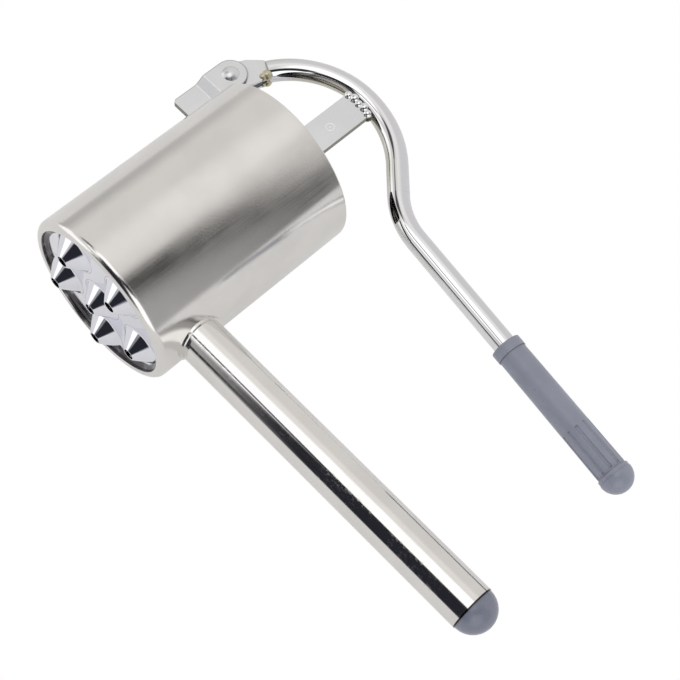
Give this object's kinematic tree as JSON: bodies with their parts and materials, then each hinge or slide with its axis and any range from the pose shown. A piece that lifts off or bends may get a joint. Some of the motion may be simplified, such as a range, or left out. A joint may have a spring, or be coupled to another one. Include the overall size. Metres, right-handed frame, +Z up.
{
  "type": "hand press",
  "caption": "Hand press for noodle dough: round barrel with a dished nozzle plate, straight fixed handle, and a bent lever that drives a plunger through a strap and links.",
  "frame": {"origin": "middle of the plane of the barrel's bottom rim", "axes": "+Z up the barrel's axis to its open mouth, +X along the fixed handle"},
  "size_m": [0.26, 0.08, 0.1656],
  "materials": {
    "satin_steel": "satin",
    "plain_steel": "satin",
    "polished_tube": "polished",
    "chrome": "polished",
    "braze": "satin",
    "grip_plastic": "satin",
    "plug_plastic": "satin"
  },
  "bodies": {
    "barrel": {"barrel": "satin_steel", "die_plate": "chrome", "handle_tube": "polished_tube", "handle_bead": "satin_steel", "handle_end_plug": "plug_plastic", "hinge_ear_near": "plain_steel", "hinge_ear_far": "plain_steel", "hinge_weld": "plain_steel", "hinge_rivet": "plain_steel"},
    "lever": {"lever_fork": "plain_steel", "fork_braze": "braze", "lever_rod": "chrome", "lever_grip": "grip_plastic", "pusher_strap": "plain_steel", "strap_weld": "chrome"},
    "links": {"link_near": "plain_steel", "link_far": "plain_steel", "link_pin_upper": "plain_steel", "link_pin_lower": "plain_steel"},
    "plunger": {"plunger_disc": "satin_steel", "plunger_bracket": "plain_steel", "plunger_rivets": "plain_steel"}
  },
  "joints": [
    {"name": "lever_hinge", "type": "hinge", "parent": "barrel", "child": "lever", "pos_m": [-0.0468, 0, 0.1176], "axis": [0, -1, 0], "range_deg": [-12, 80]},
    {"name": "link_pivot", "type": "hinge", "parent": "lever", "child": "links", "pos_m": [0.001, 0, 0.0854], "axis": [0, -1, 0], "range_deg": [-80, 12]},
    {"name": "plunger_slide", "type": "slide", "parent": "barrel", "child": "plunger", "axis": [0, 0, 1], "range_m": [-0.0111, 0.07399]}
  ],
  "couplings": [
    {"joint": "link_pivot", "follows": "lever_hinge", "ratio": -1},
    {"joint": "plunger_slide", "follows": "lever_hinge", "m_per_rad": 0.05299}
  ]
}
